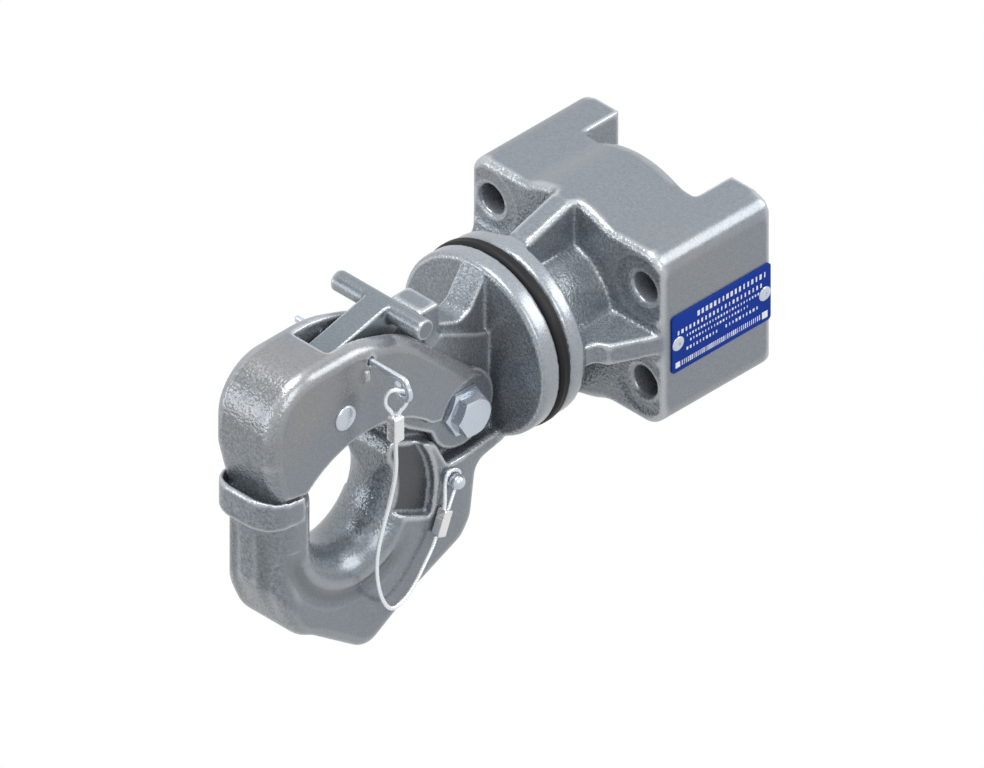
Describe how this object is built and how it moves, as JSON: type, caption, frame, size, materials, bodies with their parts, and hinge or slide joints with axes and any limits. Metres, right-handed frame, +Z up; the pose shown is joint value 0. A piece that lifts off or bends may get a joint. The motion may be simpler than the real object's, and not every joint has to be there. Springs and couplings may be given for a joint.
{
  "type": "hook coupling",
  "caption": "Swivelling towing hook on a bolted cast bearing housing, with a hinged latch, a locking lever and a tethered safety pin.",
  "frame": {"origin": "centre of the four-bolt pattern on the rear mounting face, on the swivel axis", "axes": "+Y along the swivel axis from the hook towards the vehicle, +Z up, +X the side with the type plate"},
  "size_m": [0.1074, 0.243, 0.1487],
  "materials": {
    "cast_steel": "rough cast, galvanised",
    "forged_steel": "zinc plated",
    "zinc_steel": "bright zinc",
    "wire_rope": "stranded wire",
    "ferrule_alloy": "pressed",
    "bronze": "machined",
    "seal_rubber": "satin black",
    "plate_blue": "printed enamel"
  },
  "bodies": {
    "housing": {"bearing_housing": "cast_steel", "front_bush": "bronze", "rear_bush": "bronze", "dust_seal": "seal_rubber", "thrust_washer": "bronze", "grease_nipple": "zinc_steel", "type_plate": "plate_blue", "plate_rivet_front": "zinc_steel", "plate_rivet_rear": "zinc_steel"},
    "hook": {"hook_body": "cast_steel", "rear_washer": "zinc_steel", "shaft_nut": "zinc_steel", "cotter_pin": "zinc_steel", "pivot_bolt": "zinc_steel", "pivot_washer_near": "zinc_steel", "pivot_washer_far": "zinc_steel", "pivot_nut": "zinc_steel", "cable_stud": "zinc_steel", "lower_loop": "wire_rope", "lower_ferrule": "ferrule_alloy", "tether_cable": "wire_rope"},
    "latch": {"latch": "cast_steel", "lever_pin": "zinc_steel", "lever_spring": "zinc_steel"},
    "lever": {"lock_lever": "forged_steel"},
    "safety_pin": {"safety_pin": "zinc_steel", "upper_loop": "wire_rope", "upper_ferrule": "ferrule_alloy"}
  },
  "joints": [
    {"name": "hook_swivel", "type": "hinge", "parent": "housing", "child": "hook", "pos_m": [0, 0, 0], "axis": [0, 1, 0], "continuous": true},
    {"name": "latch_pivot", "type": "hinge", "parent": "hook", "child": "latch", "pos_m": [0, -0.1315, -0.0145], "axis": [-1, 0, 0], "range_deg": [0, 45], "deforming": ["tether_cable"]},
    {"name": "lever_pivot", "type": "hinge", "parent": "latch", "child": "lever", "pos_m": [0, -0.2004, 0.0175], "axis": [1, 0, 0], "range_deg": [0, 16], "stiffness_Nm_per_rad": 0.05, "springref_deg": -28.65},
    {"name": "safety_pin_slide", "type": "slide", "parent": "latch", "child": "safety_pin", "axis": [1, 0, 0], "range_m": [0, 0.04], "deforming": ["tether_cable"]}
  ]
}
